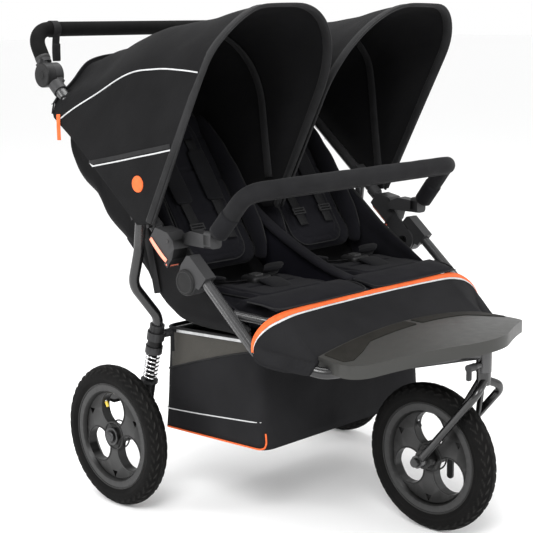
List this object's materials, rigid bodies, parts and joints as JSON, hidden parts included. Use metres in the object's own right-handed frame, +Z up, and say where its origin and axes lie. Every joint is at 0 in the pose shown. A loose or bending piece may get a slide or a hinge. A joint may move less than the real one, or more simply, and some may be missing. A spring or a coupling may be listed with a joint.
{
  "type": "jogging stroller",
  "caption": "Side-by-side folding jogging stroller with hooded twin seats, sprung rear wheels, swivelling front wheel, push bar, bumper bar, footplate and basket.",
  "frame": {"origin": "on the floor under the middle of the bounding box: halfway between the outer faces of the rear tyres in X, halfway between the front of the front tyre and the back of the push bar in Y", "axes": "+Z up from the floor; -Y is the way the children face and the stroller rolls; +X is the stroller's own left, along the wheel axles"},
  "size_m": [0.737, 0.9979, 1.0349],
  "materials": {
    "frame_paint": "satin black powder coat",
    "black_plastic": "fine grained moulding",
    "hub_cover": "smooth moulding",
    "steel": "zinc plated",
    "grip_inserts": "ribbed",
    "grip_foam": "fine foam",
    "bumper_foam": "open foam sleeve",
    "webbing": "woven webbing",
    "hood_fabric": "tight polyester weave",
    "basket_fabric": "tight polyester weave with mesh windows",
    "seat_fabric": "padded polyester",
    "buckle_plastic": "smooth moulding",
    "button_plastic": "smooth moulding",
    "chrome_spring": "bright",
    "bow_strip": "smooth strip",
    "red_plastic": "smooth moulding",
    "rim_plastic": "moulded",
    "tyre": "treaded rubber"
  },
  "bodies": {
    "rear_frame": {"upper_tubes": "frame_paint", "fold_locks": "black_plastic", "hub_pivot_pins": "steel", "rear_legs": "frame_paint", "leg_clamps": "black_plastic", "strut_sleeves": "black_plastic", "spring_left": "chrome_spring", "spring_right": "chrome_spring", "rear_crossbar": "frame_paint", "handle_joint_bases": "black_plastic", "hood_mounts": "black_plastic", "hood_left": "hood_fabric", "hood_right": "hood_fabric", "seat_sling": "hood_fabric", "seat_cushions": "seat_fabric", "crotch_buckles": "buckle_plastic", "basket": "basket_fabric"},
    "handle": {"handle_tube": "frame_paint", "handle_grip": "grip_foam", "handle_joint_caps": "black_plastic", "wrist_strap": "webbing"},
    "front_frame": {"front_tubes": "frame_paint", "hub_housings": "black_plastic", "hub_covers": "hub_cover", "seat_front_bar": "frame_paint", "head_tube": "frame_paint", "footplate": "black_plastic", "footplate_grips": "grip_inserts", "apron": "hood_fabric"},
    "fork": {"fork": "frame_paint", "front_axle": "steel"},
    "front_wheel": {"front_rim": "rim_plastic", "front_tyre": "tyre"},
    "quick_release": {"quick_release": "black_plastic"},
    "swivel_lock": {"swivel_lock": "black_plastic"},
    "bumper": {"bumper_bar": "bumper_foam", "bumper_clips": "black_plastic"},
    "brake_pedal": {"brake_pedal": "black_plastic"},
    "handle_button_left": {"handle_button_left": "button_plastic"},
    "front_bow_left": {"hood_front_bow_left": "bow_strip"},
    "mid_bow_left": {"hood_mid_bow_left": "bow_strip"},
    "seat_back_left": {"seat_back_left": "seat_fabric", "shoulder_straps_left": "webbing"},
    "buckle_button_left": {"buckle_button_left": "button_plastic"},
    "fold_lever_left": {"fold_lever_left": "red_plastic"},
    "strut_left": {"strut_lower_left": "black_plastic", "stub_axle_left": "steel"},
    "rear_wheel_left": {"rear_rim_left": "rim_plastic", "rear_tyre_left": "tyre"},
    "handle_button_right": {"handle_button_right": "button_plastic"},
    "front_bow_right": {"hood_front_bow_right": "bow_strip"},
    "mid_bow_right": {"hood_mid_bow_right": "bow_strip"},
    "seat_back_right": {"seat_back_right": "seat_fabric", "shoulder_straps_right": "webbing"},
    "buckle_button_right": {"buckle_button_right": "button_plastic"},
    "fold_lever_right": {"fold_lever_right": "red_plastic"},
    "strut_right": {"strut_lower_right": "black_plastic", "stub_axle_right": "steel"},
    "rear_wheel_right": {"rear_rim_right": "rim_plastic", "rear_tyre_right": "tyre"}
  },
  "joints": [
    {"name": "frame_fold", "type": "hinge", "parent": "rear_frame", "child": "front_frame", "pos_m": [0, -0.015, 0.509], "axis": [1, 0, 0], "range_deg": [0, 80], "deforming": ["basket"]},
    {"name": "handle_angle", "type": "hinge", "parent": "rear_frame", "child": "handle", "pos_m": [0, 0.425, 0.894], "axis": [1, 0, 0], "range_deg": [-60, 30]},
    {"name": "fork_swivel", "type": "hinge", "parent": "front_frame", "child": "fork", "pos_m": [0, -0.468, 0.33], "axis": [0, 0, 1], "continuous": true},
    {"name": "front_wheel_spin", "type": "hinge", "parent": "fork", "child": "front_wheel", "pos_m": [0, -0.348, 0.15], "axis": [1, 0, 0], "continuous": true},
    {"name": "quick_release_open", "type": "hinge", "parent": "fork", "child": "quick_release", "pos_m": [0.0585, -0.348, 0.15], "axis": [0, -1, 0], "range_deg": [0, 90]},
    {"name": "swivel_lock_turn", "type": "hinge", "parent": "front_frame", "child": "swivel_lock", "pos_m": [-0.04, -0.468, 0.362], "axis": [1, 0, 0], "range_deg": [0, 90]},
    {"name": "bumper_pull", "type": "slide", "parent": "rear_frame", "child": "bumper", "axis": [0, -1, 0], "range_m": [0, 0.12]},
    {"name": "brake_press", "type": "hinge", "parent": "strut_right", "child": "brake_pedal", "pos_m": [-0.285, 0.243, 0.19], "axis": [-1, 0, 0], "range_deg": [0, 25], "stiffness_Nm_per_rad": 1.5, "springref_deg": -14.32},
    {"name": "handle_button_left_press", "type": "slide", "parent": "handle", "child": "handle_button_left", "axis": [-1, 0, 0], "range_m": [0, 0.003], "stiffness_N_per_m": 600, "springref_m": -0.003},
    {"name": "hood_left_fold", "type": "hinge", "parent": "rear_frame", "child": "front_bow_left", "pos_m": [0.35, 0.088, 0.6083], "axis": [-1, 0, 0], "range_deg": [0, 60], "deforming": ["hood_left"]},
    {"name": "mid_bow_left_fold", "type": "hinge", "parent": "rear_frame", "child": "mid_bow_left", "pos_m": [0.347, 0.088, 0.6083], "axis": [-1, 0, 0], "range_deg": [0, 30]},
    {"name": "seat_back_left_recline", "type": "hinge", "parent": "rear_frame", "child": "seat_back_left", "pos_m": [0.152, 0.088, 0.47], "axis": [1, 0, 0], "range_deg": [-10, 4]},
    {"name": "buckle_button_left_press", "type": "slide", "parent": "rear_frame", "child": "buckle_button_left", "axis": [0, 0, -1], "range_m": [0, 0.0025], "stiffness_N_per_m": 600, "springref_m": -0.003},
    {"name": "fold_lever_left_pull", "type": "hinge", "parent": "rear_frame", "child": "fold_lever_left", "pos_m": [0.333, 0.03807, 0.53701], "axis": [-1, 0, 0], "range_deg": [0, 20], "stiffness_Nm_per_rad": 0.6, "springref_deg": -11.46},
    {"name": "strut_left_travel", "type": "slide", "parent": "rear_frame", "child": "strut_left", "axis": [0, -0.2419, 0.9703], "range_m": [0, 0.018], "stiffness_N_per_m": 8000, "springref_m": -0.02, "deforming": ["spring_left"]},
    {"name": "rear_wheel_left_spin", "type": "hinge", "parent": "strut_left", "child": "rear_wheel_left", "pos_m": [0.346, 0.215, 0.15], "axis": [1, 0, 0], "continuous": true},
    {"name": "handle_button_right_press", "type": "slide", "parent": "handle", "child": "handle_button_right", "axis": [1, 0, 0], "range_m": [0, 0.003], "stiffness_N_per_m": 600, "springref_m": -0.003},
    {"name": "hood_right_fold", "type": "hinge", "parent": "rear_frame", "child": "front_bow_right", "pos_m": [-0.35, 0.088, 0.6083], "axis": [-1, 0, 0], "range_deg": [0, 60], "deforming": ["hood_right"]},
    {"name": "mid_bow_right_fold", "type": "hinge", "parent": "rear_frame", "child": "mid_bow_right", "pos_m": [-0.347, 0.088, 0.6083], "axis": [-1, 0, 0], "range_deg": [0, 30]},
    {"name": "seat_back_right_recline", "type": "hinge", "parent": "rear_frame", "child": "seat_back_right", "pos_m": [-0.152, 0.088, 0.47], "axis": [1, 0, 0], "range_deg": [-10, 4]},
    {"name": "buckle_button_right_press", "type": "slide", "parent": "rear_frame", "child": "buckle_button_right", "axis": [0, 0, -1], "range_m": [0, 0.0025], "stiffness_N_per_m": 600, "springref_m": -0.003},
    {"name": "fold_lever_right_pull", "type": "hinge", "parent": "rear_frame", "child": "fold_lever_right", "pos_m": [-0.333, 0.03807, 0.53701], "axis": [-1, 0, 0], "range_deg": [0, 20], "stiffness_Nm_per_rad": 0.6, "springref_deg": -11.46},
    {"name": "strut_right_travel", "type": "slide", "parent": "rear_frame", "child": "strut_right", "axis": [0, -0.2419, 0.9703], "range_m": [0, 0.018], "stiffness_N_per_m": 8000, "springref_m": -0.02, "deforming": ["spring_right"]},
    {"name": "rear_wheel_right_spin", "type": "hinge", "parent": "strut_right", "child": "rear_wheel_right", "pos_m": [-0.346, 0.215, 0.15], "axis": [1, 0, 0], "continuous": true}
  ],
  "couplings": [
    {"joint": "mid_bow_left_fold", "follows": "hood_left_fold", "ratio": 0.5},
    {"joint": "mid_bow_right_fold", "follows": "hood_right_fold", "ratio": 0.5}
  ]
}
